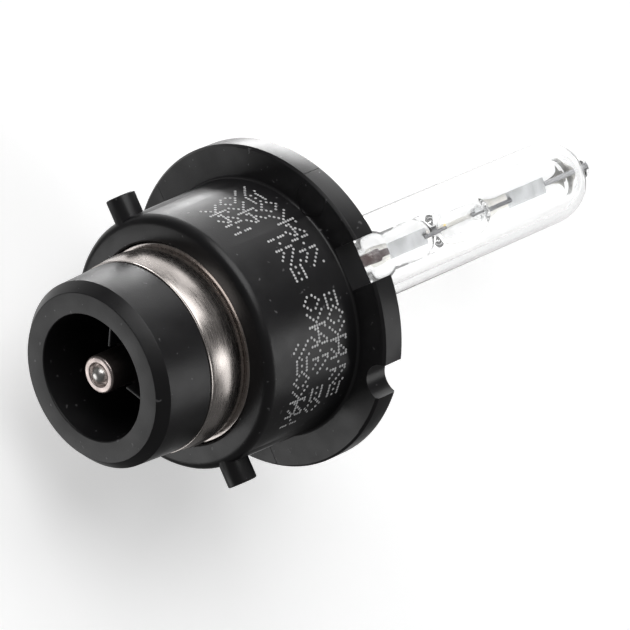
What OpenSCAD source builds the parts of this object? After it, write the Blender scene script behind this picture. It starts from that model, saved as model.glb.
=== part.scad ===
/* [Locating flange] */
// Outside diameter of the locating flange
flange_d = 33.3; // [33:0.05:33.6]
// Thickness of the flange
flange_t = 2.7; // [2.5:0.1:2.9]
// Height of the three datum pads, whose faces set the reference plane
pad_h = 0.3; // [0.2:0.05:0.4]
// Width of the rectangular key slot
key_slot_w = 4.4; // [4.2:0.1:4.6]
// Radius at the floor of the key slot
key_slot_floor_r = 13.4; // [13.35:0.05:13.6]
// Diameter of the round notch, centred on the rim
round_notch_d = 3.8; // [3.4:0.1:4]

/* [Drum] */
// Diameter of the drum where it meets the flange
drum_front_d = 26.5; // [26.2:0.05:26.6]
// Diameter of the drum at its rear end
drum_rear_d = 25.9; // [25.7:0.05:26]
// Length of the drum behind the flange
drum_l = 12.5; // [12.2:0.1:12.8]
// Radius of the rounded rear edge
drum_edge_r = 0.9; // [0.6:0.1:1.6]
// Diameter of the opening in the rear face
mouth_d = 20.6; // [20.5:0.05:20.8]

/* [Bayonet pins] */
// Diameter of each bayonet pin
bayonet_pin_d = 3; // [2.8:0.1:3]
// Distance across the tips of the two pins
bayonet_span = 30.3; // [29.9:0.1:30.6]

/* [Front hub] */
// Diameter of the low hub on the front of the flange
hub_d = 20.8; // [20:0.1:21]
// Height of the low hub above the reference plane
hub_h = 1.5; // [1.2:0.1:1.6]
// Diameter of the turret that carries the lamp holder
turret_d = 16.4; // [16.2:0.1:16.8]
// Height of the turret above the reference plane
turret_h = 4; // [3.8:0.1:4.1]

/* [Socket collar] */
// Length of the collar that shows behind the ring contact
collar_l = 6.4; // [6.3:0.1:6.7]
// Diameter of the collar where it meets the ring contact
collar_front_d = 19.3; // [19.2:0.05:19.4]
// Diameter of the collar where the rear chamfer starts
collar_rear_d = 18.8; // [18.6:0.05:18.9]
// Diameter of the flat rear face
collar_face_d = 17; // [16.8:0.1:17.4]
// Diameter of the well inside the collar
well_d = 12.75; // [12.7:0.05:12.9]
// Depth of the well
well_depth = 10; // [9.6:0.1:10.4]

/* [Contacts] */
// Length of the ring contact between the collar and the drum
ring_l = 4.6; // [4.4:0.1:4.8]
// Largest diameter of the barrel shaped ring contact
ring_d = 20; // [19.8:0.05:20.1]
// Diameter of the centre contact
centre_contact_d = 3.8; // [3.6:0.1:3.8]
// How far the centre contact ends inside the well
centre_contact_recess = 1; // [0.9:0.1:1.4]

/* [Quartz] */
// Overall length of the lamp
lamp_l = 75.9; // [75.6:0.1:76]
// Distance from the reference plane to the middle of the arc
arc_x = 27.1; // [26.9:0.1:27.3]
// Distance between the electrode tips
arc_gap = 4.2; // [4:0.1:4.4]
// Outside diameter of the outer tube
outer_tube_d = 8.8; // [8.7:0.05:9]
// Wall of the outer tube
outer_wall = 1; // [0.9:0.05:1.1]
// Outside diameter of the arc chamber
chamber_d = 6; // [5.8:0.1:6.2]
// Outside diameter of the necks of the arc tube
neck_d = 4.2; // [4:0.1:4.3]

/* [Return wire] */
// Distance of the return wire from the lamp axis
return_offset = 7.6; // [7.5:0.1:7.7]
// Diameter of the return wire
return_wire_d = 0.7; // [0.6:0.05:0.8]
// Outside diameter of the ceramic sleeve
sleeve_d = 2.8; // [2.6:0.1:2.8]

/* [Hidden] */
$fn = 96;

// Stations along the lamp axis, measured forward from the reference plane
flange_front = -pad_h;
flange_rear = flange_front - flange_t;
drum_rear = flange_rear - drum_l;
collar_front = drum_rear - ring_l;
collar_rear = collar_front - collar_l;
well_floor = collar_rear + well_depth;
lamp_tip = collar_rear + lamp_l;
cavity_floor = -5;

// Rims and small edges
cut_over = 1;
rim_chamfer = 0.25;
root_fillet = 0.3;
pad_root = 0.5;
pad_d = 3.6;
pad_r = 14.5;
pad_angles = [60, 180, 300];
round_notch_angle = 134;
pin_x = drum_rear + bayonet_pin_d / 2 + 0.1;
pin_edge = 0.2;
pin_straight_l = 1.8;
pin_draft = 0.1;

// Lamp holder on the turret
glass_gap = 0.25;
throat_d = outer_tube_d + 2 * glass_gap;
holder_t = 0.4;
holder_d = 15.6;
tab_w = 2.6;
tab_l = 3;
tab_angles = [45, 135, 225, 315];
band_t = 0.4;
band_start = turret_h + 0.6;
band_l = 3.2;
band_r = outer_tube_d / 2 + band_t;
ear_l = 2;

// Boss that the ceramic sleeve stands in
boss_d = 4.4;
sleeve_seat = 2.4;
sleeve_end = 44;
wire_gap = 0.1;
sleeve_bore_d = return_wire_d + 2 * wire_gap;
sleeve_gap = 0.2;

// Collar inside the drum
spigot_r = 9.15;
ring_lip_x = drum_rear + 0.25;
ring_lip_t = 0.4;
collar_flange_x = ring_lip_x + ring_lip_t;
collar_flange_t = 2;
collar_flange_r = mouth_d / 2 - 0.05;
face_chamfer_l = 1.1;
web_t = 0.45;
web_angles = [51, 129];
web_top_r = 3.6;
web_foot_r = 3.3;
web_top_drop = [0.1, 1.1];
web_root = 0.3;

// Ring contact
ring_end_r = collar_front_d / 2 + 0.02;
ring_lip_r = mouth_d / 2 - 0.02;
ring_steps = 12;

// Centre contact, on a thinner shank moulded into the collar
contact_r = centre_contact_d / 2;
contact_rear = collar_rear + centre_contact_recess;
shank_r = 1.6;
shank_end = collar_flange_x + collar_flange_t + 1;
contact_edge = 0.15;
contact_bore_gap = 0.1;
dish_r = 1.25;
dish_depth = 0.45;
bead_r = 0.95;

// Quartz
tube_r = outer_tube_d / 2;
tube_bore_r = tube_r - outer_wall;
neck_r = neck_d / 2;
tube_rear = 3;
shoulder_rear = 10.8;
shoulder_front = 13.6;
dome_start = 41.6;
dome_end = 45.8;
stem_rear = -9;
tip_r = 1.15;
tip_root = [0.15, 1.2];
tip_edge = [0.25, 0.3];
glass_tip = lamp_tip - 0.8;
chamber_r = chamber_d / 2;
chamber_half_l = 4.6;
plasma_r = 1.35;
plasma_half_l = 3.7;
salts_at = [arc_x - 1.6, 0.1, -0.72];
salts_r = 0.38;

// Seals: flat foils join the thick leads to the thin electrodes
foil_w = 1.1;
foil_t = 0.1;
foil_tilt = 35;
rear_foil_x = [15.2, 21.6];
front_foil_x = [34.6, 40.7];
lead_r = 0.35;
lead_end_r = 0.2;
lead_step = 13.4;
electrode_r = 0.13;
electrode_overlap = 0.6;
electrode_bore_r = 0.18;
electrode_bore_end = 0.05;
electrode_ball_r = 0.17;
front_lead_r = 0.2;

// Return circuit
bend_r = 1.5;
crossing_x = lamp_tip - 0.4;
weld_r = 0.4;
weld_gap = 0.5;
return_rear = -9;
strap_w = 2;
strap_t = 0.3;
strap_r = 9.8;
strap_slot_gap = 0.1;

function reverse(list) = [for (i = [len(list) - 1:-1:0]) list[i]];

// Points of an arc, as [radius, station] pairs, about a centre of the same kind
function arc(centre, r, from, to, steps) =
    [for (i = [0:steps]) let (a = from + (to - from) * i / steps) centre + r * [cos(a), sin(a)]];

// Radius of the ring contact at a share of its length, fullest in the middle
function barrel_r(share) = ring_d / 2 - (ring_d / 2 - ring_end_r) * pow(2 * share - 1, 2);

// Turns a profile of [radius, station] points about the lamp axis
module turned(profile) {
    rotate([0, 90, 0]) rotate_extrude() polygon(profile);
}

// A round rod along the lamp axis between two stations
module rod(from, to, r) {
    translate([from, 0, 0]) rotate([0, 90, 0]) cylinder(h = to - from, r = r);
}

// Places a shape at a distance from the axis, at an angle from +Y towards +Z
module around(angle, r) {
    rotate([angle, 0, 0]) translate([0, r, 0]) children();
}

module cap_body() {
    drum_front_r = drum_front_d / 2;
    drum_rear_r = drum_rear_d / 2;
    flange_r = flange_d / 2;
    profile = concat(
        [[mouth_d / 2, cavity_floor], [mouth_d / 2, drum_rear]],
        arc([drum_rear_r - drum_edge_r, drum_rear + drum_edge_r], drum_edge_r, -90, 0, 10),
        [[drum_front_r, flange_rear - root_fillet], [drum_front_r + root_fillet, flange_rear],
            [flange_r - rim_chamfer, flange_rear], [flange_r, flange_rear + rim_chamfer],
            [flange_r, flange_front - rim_chamfer], [flange_r - rim_chamfer, flange_front],
            [hub_d / 2, flange_front], [hub_d / 2, hub_h - rim_chamfer],
            [hub_d / 2 - rim_chamfer, hub_h], [turret_d / 2, hub_h],
            [turret_d / 2, turret_h - rim_chamfer], [turret_d / 2 - rim_chamfer, turret_h],
            [throat_d / 2, turret_h], [throat_d / 2, cavity_floor]]);
    color("#1b1b1d") difference() {
        union() {
            turned(profile);
            for (side = [-1, 1]) bayonet_pin(side);
            for (a = pad_angles) around(a, pad_r)
                rod(flange_front - pad_root, 0, pad_d / 2);
            translate([0, 0, -return_offset]) rod(0, turret_h, boss_d / 2);
        }
        translate([flange_rear - cut_over, -key_slot_w / 2, key_slot_floor_r])
            cube([flange_t + 2 * cut_over, key_slot_w, flange_d]);
        around(round_notch_angle, flange_d / 2)
            rod(flange_rear - cut_over, flange_front + cut_over, round_notch_d / 2);
        translate([0, 0, -return_offset]) rod(cavity_floor - cut_over, turret_h, sleeve_bore_d / 2);
        translate([0, 0, -return_offset]) rod(sleeve_seat, turret_h + cut_over, sleeve_d / 2);
    }
}

// A pin whose root widens slightly where it meets the drum
module bayonet_pin(side) {
    tip = bayonet_span / 2;
    r = bayonet_pin_d / 2;
    root = mouth_d / 2 + cut_over;
    straight = tip - pin_edge - pin_straight_l;
    translate([pin_x, 0, 0]) rotate([-90 * side, 0, 0]) rotate_extrude()
        polygon([[0, root], [r + pin_draft, root], [r, straight], [r, tip - pin_edge],
            [r - pin_edge, tip], [0, tip]]);
}

module socket_collar() {
    face_r = collar_face_d / 2;
    rear_r = collar_rear_d / 2;
    bore_r = well_d / 2;
    flange_end = collar_flange_x + collar_flange_t;
    profile = [[bore_r, collar_rear], [face_r, collar_rear],
        [rear_r, collar_rear + face_chamfer_l], [collar_front_d / 2, collar_front],
        [spigot_r, collar_front], [spigot_r, collar_flange_x], [collar_flange_r, collar_flange_x],
        [collar_flange_r, flange_end], [shank_r, flange_end], [shank_r, well_floor],
        [bore_r, well_floor]];
    color("#1e1e20") difference() {
        union() {
            turned(profile);
            for (a = web_angles) well_web(a);
        }
        translate([collar_flange_x - cut_over, -strap_w / 2 - strap_slot_gap, -strap_r - cut_over])
            cube([collar_flange_t + 2 * cut_over, strap_w + 2 * strap_slot_gap,
                cut_over + strap_t + 2 * strap_slot_gap]);
    }
}

// A thin gusset between the wall and the floor of the well
module well_web(angle) {
    wall = well_d / 2 + web_root;
    foot = well_floor + web_root;
    outline = [[collar_rear + web_top_drop[0], wall], [collar_rear + web_top_drop[1], web_top_r],
        [foot, web_foot_r], [foot, wall]];
    rotate([angle, 0, 0]) linear_extrude(height = web_t, center = true) polygon(outline);
}

module ring_contact() {
    barrel = [for (i = [0:ring_steps]) let (s = i / ring_steps) [barrel_r(s), collar_front + s * ring_l]];
    color("#c9c4ba") turned(concat([[spigot_r, collar_front]], barrel,
        [[ring_end_r, ring_lip_x], [ring_lip_r, ring_lip_x], [ring_lip_r, collar_flange_x],
            [spigot_r, collar_flange_x]]));
}

module centre_contact() {
    bore_r = lead_r + contact_bore_gap;
    dish_floor = contact_rear + dish_depth;
    color("#cfcac2") turned([[bore_r, dish_floor], [dish_r - contact_edge, dish_floor],
        [dish_r, contact_rear], [contact_r - contact_edge, contact_rear],
        [contact_r, contact_rear + contact_edge], [contact_r, well_floor], [shank_r, well_floor],
        [shank_r, shank_end], [bore_r, shank_end]]);
}

module centre_weld_bead() {
    floor_x = contact_rear + dish_depth;
    dome = arc([0, floor_x], bead_r, 0, -90, 8);
    color("#e4e1da") turned(concat([[0, floor_x]], dome));
}

module rear_lead() {
    color("#6b4a44") union() {
        rod(contact_rear + dish_depth, lead_step, lead_r);
        rod(lead_step, rear_foil_x[0], lead_end_r);
    }
}

// A flat foil across the axis between two stations
module foil(span) {
    rotate([foil_tilt, 0, 0]) translate([span[0], -foil_w / 2, -foil_t / 2])
        cube([span[1] - span[0], foil_w, foil_t]);
}

module rear_foil() {
    color("#8d8f92") foil(rear_foil_x);
}

module front_foil() {
    color("#8d8f92") foil(front_foil_x);
}

// A thin electrode that lies on the face of its foil and ends in a small ball
module electrode(root, tip) {
    lift = foil_t / 2 + electrode_r;
    rotate([foil_tilt, 0, 0]) translate([0, 0, lift])
        rod(min(root, tip), max(root, tip), electrode_r);
    rotate([foil_tilt, 0, 0]) translate([tip, 0, lift]) sphere(r = electrode_ball_r);
}

module rear_electrode() {
    color("#55565a")
        electrode(rear_foil_x[1] - electrode_overlap, arc_x - arc_gap / 2 - electrode_ball_r);
}

module front_electrode() {
    color("#55565a")
        electrode(front_foil_x[0] + electrode_overlap, arc_x + arc_gap / 2 + electrode_ball_r);
}

module halide_salts() {
    color("#d9b64a") translate(salts_at) sphere(r = salts_r);
}

module front_lead() {
    color("#77787c") rod(front_foil_x[1], lamp_tip, front_lead_r);
}

// Room in the quartz for a foil, its electrode and its lead
module seal_pockets() {
    foil(rear_foil_x);
    foil(front_foil_x);
    rod(stem_rear - cut_over, lead_step, lead_r);
    rod(lead_step, rear_foil_x[0], lead_end_r);
    rod(front_foil_x[1], lamp_tip, front_lead_r);
    rotate([foil_tilt, 0, 0]) translate([0, 0, foil_t / 2 + electrode_r]) {
        rod(rear_foil_x[1] - electrode_overlap - electrode_bore_end, arc_x, electrode_bore_r);
        rod(arc_x, front_foil_x[0] + electrode_overlap + electrode_bore_end, electrode_bore_r);
    }
}

module arc_tube() {
    // Half width of the chamber where its oval wall meets the round neck
    meet = chamber_half_l * sqrt(1 - pow(neck_r / chamber_r, 2));
    start = acos(meet / chamber_half_l);
    outer_wall_points = [for (i = [0:16]) let (a = 180 - start - (180 - 2 * start) * i / 16)
        [chamber_r * sin(a), arc_x + chamber_half_l * cos(a)]];
    plasma_points = [for (i = [0:16]) let (a = 180 * i / 16)
        [plasma_r * sin(a), arc_x + plasma_half_l * cos(a)]];
    profile = concat([[0, stem_rear], [neck_r, stem_rear]], outer_wall_points,
        [[neck_r, dome_end], [tip_r + tip_root[0], dome_end + tip_root[1]],
            [tip_r, glass_tip - tip_edge[1]], [tip_r - tip_edge[0], glass_tip], [0, glass_tip]]);
    color("#dfe6ea", 0.35) difference() {
        turned(profile);
        turned(plasma_points);
        seal_pockets();
    }
}

module outer_tube() {
    dome_l = dome_end - dome_start;
    dome = [for (i = [0:10]) let (a = 90 * i / 10)
        [neck_r + (tube_r - neck_r) * cos(a), dome_start + dome_l * sin(a)]];
    inner_l = dome_l - outer_wall;
    inner_dome = [for (i = [0:10]) let (a = 90 * i / 10)
        [neck_r + (tube_bore_r - neck_r) * cos(a), dome_start + inner_l * sin(a)]];
    color("#e8f0f4", 0.25) turned(concat([[neck_r, tube_rear], [tube_r, tube_rear]], dome,
        reverse(inner_dome), [[tube_bore_r, shoulder_front], [neck_r, shoulder_rear]]));
}

module clamp_band() {
    color("#b9bbbd") difference() {
        union() {
            rod(band_start, band_start + band_l, band_r);
            translate([band_start, band_r - band_t, -band_t]) cube([band_l, ear_l + band_t, 2 * band_t]);
        }
        rod(band_start - cut_over, band_start + band_l + cut_over, tube_r);
    }
}

module holder_ring() {
    color("#c2c4c6") difference() {
        union() {
            rod(turret_h, turret_h + holder_t, holder_d / 2);
            for (a = tab_angles) rotate([a, 0, 0])
                translate([turret_h, band_r, -tab_w / 2]) cube([holder_t + tab_l, holder_t, tab_w]);
        }
        rod(turret_h - cut_over, turret_h + holder_t + tab_l + cut_over, band_r);
        translate([0, 0, -return_offset])
            rod(turret_h - cut_over, turret_h + cut_over, sleeve_d / 2 + sleeve_gap);
    }
}

module ceramic_sleeve() {
    color("#efede6") translate([0, 0, -return_offset]) difference() {
        rod(sleeve_seat, sleeve_end, sleeve_d / 2);
        rod(sleeve_seat - cut_over, sleeve_end + cut_over, sleeve_bore_d / 2);
    }
}

module return_wire() {
    r = return_wire_d / 2;
    color("#b5b1a8") union() {
        translate([0, 0, -return_offset]) rod(return_rear, crossing_x - bend_r, r);
        translate([crossing_x - bend_r, 0, bend_r - return_offset]) rotate([90, 0, 0])
            rotate([0, 0, -90]) rotate_extrude(angle = 90) translate([bend_r, 0]) circle(r = r);
        translate([crossing_x, 0, bend_r - return_offset])
            cylinder(h = return_offset - bend_r - weld_gap, r = r);
    }
}

// A nugget between the end of the return wire and the side of the front lead
module tip_weld() {
    color("#a9a6a0") difference() {
        translate([crossing_x, 0, -weld_gap]) sphere(r = weld_r);
        rod(glass_tip, lamp_tip + cut_over, front_lead_r);
        translate([crossing_x - cut_over, -cut_over, -weld_gap - 2 * cut_over]) cube(2 * cut_over);
    }
}

module return_strap() {
    color("#c8b48c") union() {
        translate([collar_flange_x, -strap_w / 2, -strap_r])
            cube([return_rear - collar_flange_x, strap_w, strap_t]);
        translate([return_rear - strap_t, -strap_w / 2, -strap_r])
            cube([strap_t, strap_w, strap_r - return_offset + strap_w / 2]);
    }
}

cap_body();
socket_collar();
ring_contact();
centre_contact();
centre_weld_bead();
rear_lead();
rear_foil();
rear_electrode();
halide_salts();
front_electrode();
front_foil();
front_lead();
arc_tube();
outer_tube();
clamp_band();
holder_ring();
ceramic_sleeve();
return_wire();
tip_weld();
return_strap();
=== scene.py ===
import math
import random
import bpy
from mathutils import Matrix, Vector


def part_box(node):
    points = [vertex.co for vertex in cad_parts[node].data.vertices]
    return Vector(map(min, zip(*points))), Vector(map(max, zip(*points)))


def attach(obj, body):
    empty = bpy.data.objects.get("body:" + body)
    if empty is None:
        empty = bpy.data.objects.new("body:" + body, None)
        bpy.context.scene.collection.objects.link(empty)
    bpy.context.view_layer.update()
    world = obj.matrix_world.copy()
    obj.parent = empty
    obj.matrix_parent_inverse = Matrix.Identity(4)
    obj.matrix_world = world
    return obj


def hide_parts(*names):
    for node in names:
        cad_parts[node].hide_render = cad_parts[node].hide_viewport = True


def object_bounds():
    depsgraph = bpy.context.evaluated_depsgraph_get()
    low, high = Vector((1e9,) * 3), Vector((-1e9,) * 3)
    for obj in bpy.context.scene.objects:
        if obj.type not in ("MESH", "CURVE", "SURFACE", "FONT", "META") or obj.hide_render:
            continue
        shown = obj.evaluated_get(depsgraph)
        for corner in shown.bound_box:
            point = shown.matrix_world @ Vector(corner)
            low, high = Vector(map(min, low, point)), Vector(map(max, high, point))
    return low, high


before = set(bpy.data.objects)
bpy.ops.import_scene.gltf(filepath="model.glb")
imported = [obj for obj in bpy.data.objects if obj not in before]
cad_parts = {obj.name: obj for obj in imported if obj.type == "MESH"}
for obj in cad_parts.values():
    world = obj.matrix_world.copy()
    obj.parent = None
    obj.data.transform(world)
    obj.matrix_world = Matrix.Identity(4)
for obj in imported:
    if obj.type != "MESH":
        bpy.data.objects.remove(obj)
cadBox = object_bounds()
mm = 0.001
print("frame loaded")


# ---- helpers for modelling by hand ----

def deselectAll():
    bpy.ops.object.select_all(action="DESELECT")


def makeActive(piece):
    deselectAll()
    piece.select_set(True)
    bpy.context.view_layer.objects.active = piece


def openEdit(piece, mode="VERT"):
    makeActive(piece)
    bpy.ops.object.mode_set(mode="EDIT")
    bpy.ops.mesh.select_mode(type=mode)


def openAll(piece, mode="VERT"):
    openEdit(piece, mode)
    bpy.ops.mesh.select_all(action="SELECT")


def openEditKeeping(piece, mode):
    # like openEdit, but what code has selected in object mode stays selected
    makeActive(piece)
    bpy.context.tool_settings.mesh_select_mode = (mode == "VERT", mode == "EDGE", mode == "FACE")
    bpy.ops.object.mode_set(mode="EDIT")


def closeEdit():
    bpy.ops.object.mode_set(mode="OBJECT")


def settle(piece):
    # the piece's place goes into its mesh
    makeActive(piece)
    bpy.ops.object.transform_apply(location=True, rotation=True, scale=True)
    return piece


def applyAll(piece):
    makeActive(piece)
    for modifier in list(piece.modifiers):
        bpy.ops.object.modifier_apply(modifier=modifier.name)
    return piece


def smooth(piece, degrees=32):
    makeActive(piece)
    bpy.ops.object.shade_smooth_by_angle(angle=math.radians(degrees))
    return piece


def tidyMesh(piece, gap=1e-6):
    openAll(piece)
    bpy.ops.mesh.remove_doubles(threshold=gap)
    bpy.ops.mesh.normals_make_consistent(inside=False)
    closeEdit()
    return piece


def selectNothing(piece):
    for part in (piece.data.vertices, piece.data.edges, piece.data.polygons):
        part.foreach_set("select", [False] * len(part))


def selectFaces(piece, rule):
    # rule is asked about each face's centre and normal, in object mode
    selectNothing(piece)
    for face in piece.data.polygons:
        face.select = bool(rule(face.center, face.normal))


def selectEdges(piece, rule):
    # rule is asked about each edge's two ends
    selectNothing(piece)
    points = piece.data.vertices
    for edge in piece.data.edges:
        a, b = (points[i].co for i in edge.vertices)
        edge.select = bool(rule(a, b))


def bevelEdges(piece, rule, width, segments, profile=0.5):
    selectEdges(piece, rule)
    openEditKeeping(piece, "EDGE")
    bpy.ops.mesh.bevel(offset=width * mm, segments=segments, profile=profile)
    closeEdit()


def block(name, place, size):
    # a box, with its middle and size in millimetres
    bpy.ops.mesh.primitive_cube_add(size=1, location=[v * mm for v in place])
    piece = bpy.context.object
    piece.name = name
    piece.scale = [v * mm for v in size]
    return settle(piece)


def eased(share):
    # from 0 to 1, slow at both ends
    return share ** 2 * (3 - 2 * share)


def rounded(corners, closed=True, steps=5):
    # corners are (x, radius, fillet) in millimetres; each fillet becomes a short arc
    path = []
    count = len(corners)
    for i, (x, r, fillet) in enumerate(corners):
        here = Vector((x, r))
        if fillet <= 0 or (not closed and i in (0, count - 1)):
            path.append(here)
            continue
        before = Vector(corners[i - 1][:2]) - here
        after = Vector(corners[(i + 1) % count][:2]) - here
        half = before.angle(after) / 2
        reach = min(fillet / math.tan(half), 0.49 * before.length, 0.49 * after.length)
        radius = reach * math.tan(half)
        centre = here + (before.normalized() + after.normalized()).normalized() * radius / math.sin(half)
        start = here + before.normalized() * reach - centre
        end = here + after.normalized() * reach - centre
        turn = start.angle_signed(end)
        for k in range(steps + 1):
            path.append(centre + Matrix.Rotation(-turn * k / steps, 2) @ start)
    return path


def turnedPiece(name, path, steps=160, closed=True):
    # a single vertex is drawn out along the profile and spun round the lamp axis
    first = path[0] * mm
    deselectAll()
    bpy.ops.mesh.primitive_plane_add(size=mm, location=(first.x, first.y, 0))
    piece = bpy.context.object
    piece.name = name
    openAll(piece)
    bpy.ops.mesh.merge(type="CENTER")
    for a, b in zip(path, path[1:]):
        step = (b - a) * mm
        bpy.ops.mesh.extrude_region_move(TRANSFORM_OT_translate={"value": (step.x, step.y, 0)})
    if closed:
        closeEdit()
        ends = (0, len(piece.data.vertices) - 1)
        for vertex in piece.data.vertices:
            vertex.select = vertex.index in ends
        bpy.ops.object.mode_set(mode="EDIT")
        bpy.ops.mesh.edge_face_add()
    bpy.ops.mesh.select_all(action="SELECT")
    bpy.ops.mesh.spin(steps=steps, angle=2 * math.pi, center=(0, 0, 0), axis=(1, 0, 0))
    closeEdit()
    tidyMesh(piece)
    return settle(piece)


def axialRod(name, x0, x1, radius, y=0.0, z=0.0, sides=32, edge=0.0):
    # a straight rod along the lamp axis; its ends are softened only when an edge width is given
    deselectAll()
    bpy.ops.mesh.primitive_cylinder_add(
        vertices=sides, radius=radius * mm, depth=(x1 - x0) * mm,
        location=((x0 + x1) / 2 * mm, y * mm, z * mm), rotation=(0, math.pi / 2, 0))
    piece = bpy.context.object
    piece.name = name
    settle(piece)
    if edge > 0:
        bevelEdges(piece, lambda a, b: abs(a.x - b.x) < 1e-7, edge, 3)
    return piece


def cut(piece, tool, operation="DIFFERENCE"):
    change = piece.modifiers.new("cut", "BOOLEAN")
    change.operation = operation
    change.solver = "EXACT"
    change.object = tool
    applyAll(piece)
    bpy.data.objects.remove(tool, do_unlink=True)
    return piece


def joined(name, parts):
    deselectAll()
    for part in parts:
        part.select_set(True)
    bpy.context.view_layer.objects.active = parts[0]
    if len(parts) > 1:
        bpy.ops.object.join()
    parts[0].name = name
    return parts[0]


def turnAbout(piece, degrees):
    # turns a settled piece about the lamp axis
    piece.rotation_euler = (math.radians(degrees), 0, 0)
    return settle(piece)


def placed(piece, nodes, material):
    piece.data.materials.clear()
    piece.data.materials.append(material)
    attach(piece, "root")
    if nodes:
        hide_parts(*nodes)
    return piece


# ---- helpers for materials ----

class Finish:
    # a small wrapper so that each material below reads as a recipe
    def __init__(self, name):
        self.material = bpy.data.materials.new(name)
        self.material.use_nodes = True
        self.nodes = self.material.node_tree.nodes
        self.links = self.material.node_tree.links
        self.shader = self.nodes["Principled BSDF"]
        self.output = self.nodes["Material Output"]
        self.place = self.nodes.new("ShaderNodeTexCoord").outputs["Object"]

    def add(self, kind, **settings):
        node = self.nodes.new(kind)
        for key, value in settings.items():
            setattr(node, key, value)
        return node

    def wire(self, source, target):
        self.links.new(source, target)

    def stretched(self, scale):
        node = self.add("ShaderNodeMapping")
        node.inputs["Scale"].default_value = scale
        self.wire(self.place, node.inputs["Vector"])
        return node.outputs["Vector"]

    def noise(self, scale, detail=3.0, vector=None, rough=0.5):
        node = self.add("ShaderNodeTexNoise")
        node.inputs["Scale"].default_value = scale
        node.inputs["Detail"].default_value = detail
        node.inputs["Roughness"].default_value = rough
        self.wire(vector or self.place, node.inputs["Vector"])
        return node.outputs["Fac"]

    def ramp(self, source, stops):
        node = self.add("ShaderNodeValToRGB")
        bars = node.color_ramp.elements
        while len(bars) < len(stops):
            bars.new(0.5)
        for bar, (place, value) in zip(bars, stops):
            bar.position = place
            bar.color = (*value, 1) if isinstance(value, tuple) else (value, value, value, 1)
        self.wire(source, node.inputs["Fac"])
        return node.outputs["Color"]

    def mixed(self, factor, a, b):
        # sockets 6 and 7 are the two colours, and output 2 is their mix
        node = self.add("ShaderNodeMix", data_type="RGBA")
        self.wire(factor, node.inputs[0])
        for value, socket in ((a, node.inputs[6]), (b, node.inputs[7])):
            if isinstance(value, tuple):
                socket.default_value = (*value, 1)
            else:
                self.wire(value, socket)
        return node.outputs[2]

    def bump(self, height, strength, depth, under=None):
        node = self.add("ShaderNodeBump")
        node.inputs["Strength"].default_value = strength
        node.inputs["Distance"].default_value = depth
        self.wire(height, node.inputs["Height"])
        if under is not None:
            self.wire(under, node.inputs["Normal"])
        return node.outputs["Normal"]


def mouldedPlastic(name, tone, gloss, grain=0.25):
    f = Finish(name)
    cloud = f.noise(140, 4)
    base = f.ramp(cloud, [(0.3, tuple(v * 0.8 for v in tone)), (0.75, tuple(v * 1.25 for v in tone))])
    specks = f.ramp(f.noise(1500, 1.0), [(0.73, 0.0), (0.77, 1.0)])
    dusty = f.mixed(specks, base, tuple(v * 4 + 0.06 for v in tone))
    f.wire(dusty, f.shader.inputs["Base Color"])
    rough = f.ramp(f.noise(420, 4), [(0.25, gloss - 0.05), (0.8, gloss + 0.08)])
    f.wire(rough, f.shader.inputs["Roughness"])
    fine = f.bump(f.noise(7000, 2), grain, 0.00003)
    slow = f.bump(f.noise(260, 3), 0.12, 0.00012, fine)
    f.wire(slow, f.shader.inputs["Normal"])
    f.shader.inputs["IOR"].default_value = 1.5
    return f.material


def scratchedSteel(name, tone, gloss, wear=0.14):
    # bright sheet metal with short scratches that run round the axis
    f = Finish(name)
    split = f.add("ShaderNodeSeparateXYZ")
    f.wire(f.place, split.inputs[0])
    angle = f.add("ShaderNodeMath", operation="ARCTAN2")
    f.wire(split.outputs["Z"], angle.inputs[0])
    f.wire(split.outputs["Y"], angle.inputs[1])
    wrap = f.add("ShaderNodeCombineXYZ")
    f.wire(split.outputs["X"], wrap.inputs[0])
    arcLength = f.add("ShaderNodeMath", operation="MULTIPLY")
    f.wire(angle.outputs[0], arcLength.inputs[0])
    arcLength.inputs[1].default_value = 0.010
    f.wire(arcLength.outputs[0], wrap.inputs[1])
    f.wire(f.noise(40, 2), wrap.inputs[2])
    slant = f.add("ShaderNodeMapping")
    slant.inputs["Rotation"].default_value = (0, 0, math.radians(24))
    slant.inputs["Scale"].default_value = (9000, 700, 40)
    f.wire(wrap.outputs[0], slant.inputs["Vector"])
    lines = f.noise(1.0, 3, slant.outputs["Vector"], 0.6)
    marks = f.ramp(lines, [(0.42, 0.0), (0.7, 1.0)])
    stain = f.noise(330, 4)
    base = f.ramp(stain, [(0.3, tuple(v * 0.86 for v in tone)), (0.7, tone)])
    f.wire(f.mixed(marks, base, tuple(min(1.0, v * 1.12) for v in tone)), f.shader.inputs["Base Color"])
    roughA = f.ramp(stain, [(0.3, gloss), (0.75, gloss + 0.1)])
    f.wire(f.mixed(marks, roughA, (gloss + wear,) * 3), f.shader.inputs["Roughness"])
    f.wire(f.bump(lines, 0.07, 0.00002), f.shader.inputs["Normal"])
    f.shader.inputs["Metallic"].default_value = 1.0
    return f.material


def plainMetal(name, tone, gloss, scale=900, strength=0.3):
    f = Finish(name)
    stain = f.noise(scale, 4)
    f.wire(f.ramp(stain, [(0.3, tuple(v * 0.72 for v in tone)), (0.7, tone)]), f.shader.inputs["Base Color"])
    f.wire(f.ramp(stain, [(0.25, gloss + 0.12), (0.75, gloss)]), f.shader.inputs["Roughness"])
    f.wire(f.bump(f.noise(scale * 4, 3), strength, 0.00003), f.shader.inputs["Normal"])
    f.shader.inputs["Metallic"].default_value = 1.0
    return f.material


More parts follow.
